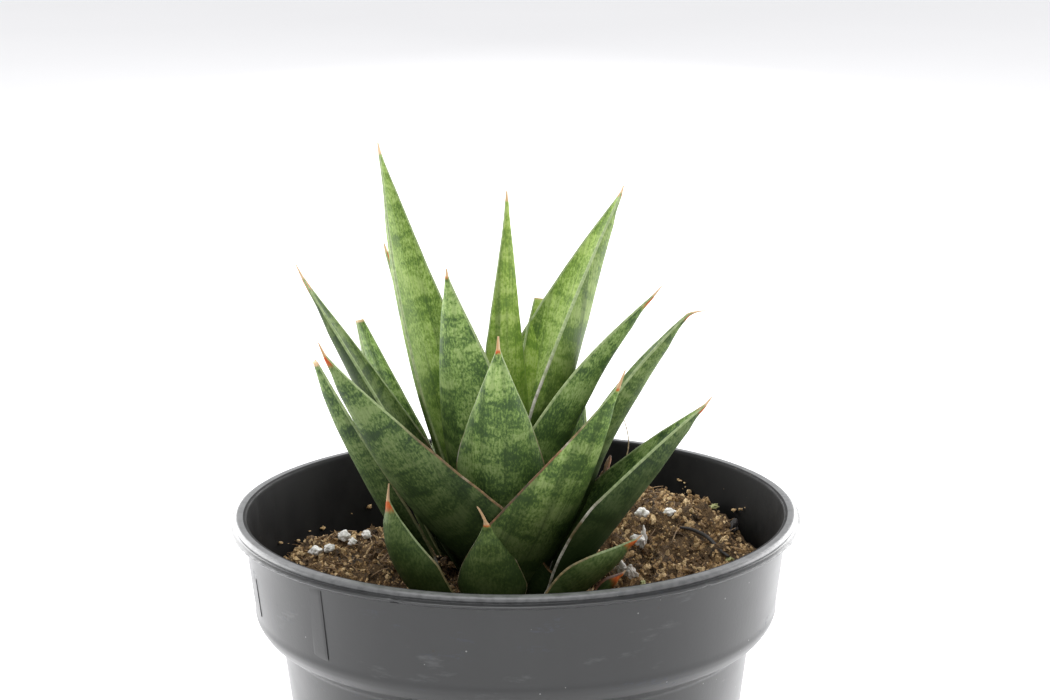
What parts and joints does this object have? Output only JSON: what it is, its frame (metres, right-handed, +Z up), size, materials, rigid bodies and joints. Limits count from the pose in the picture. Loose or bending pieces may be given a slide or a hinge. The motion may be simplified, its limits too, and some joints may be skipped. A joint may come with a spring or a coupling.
{
  "type": "potted snake plant",
  "caption": "Dwarf snake plant with channelled, mottled green leaves in a rosette, growing in potting soil in a plain dark grey nursery pot with a flat rim and stepped collar",
  "frame": {"origin": "centre of the pot's underside, on the surface it stands on", "axes": "+Z up through the pot's axis, -Y towards the front of the plant, +X to the right seen from the front"},
  "size_m": [0.12, 0.12, 0.1741],
  "materials": {
    "pot_plastic": "satin",
    "potting_soil": "matte",
    "crown_stem": "satin",
    "leaf": "satin",
    "young_leaf": "satin",
    "dried_straw": "matte",
    "perlite": "matte",
    "bark": "matte"
  },
  "bodies": {
    "root": {"back_leaf": "leaf", "back_left_leaf": "leaf", "back_right_leaf": "leaf", "back_sliver_leaf": "leaf", "bark_sliver": "bark", "behind_left_leaf": "leaf", "behind_tall_left_leaf": "young_leaf", "centre_spear_leaf": "young_leaf", "crown_stem": "crown_stem", "dried_bract": "dried_straw", "front_leaf": "leaf", "front_left_leaf": "leaf", "front_right_leaf": "leaf", "grow_pot": "pot_plastic", "inner_left_leaf": "leaf", "low_back_leaf": "leaf", "low_back_right_leaf": "leaf", "low_left_leaf": "leaf", "low_right_leaf": "leaf", "mid_right_leaf": "leaf", "perlite_1": "perlite", "perlite_2": "perlite", "perlite_3": "perlite", "perlite_4": "perlite", "perlite_5": "perlite", "perlite_6": "perlite", "perlite_7": "perlite", "perlite_8": "perlite", "potting_soil": "potting_soil", "short_front_leaf": "leaf", "short_left_leaf": "leaf", "short_right_leaf": "leaf", "small_right_leaf": "leaf", "tall_left_leaf": "young_leaf", "tall_right_leaf": "young_leaf", "upper_left_leaf": "leaf", "upper_right_leaf": "leaf"}
  },
  "joints": []
}
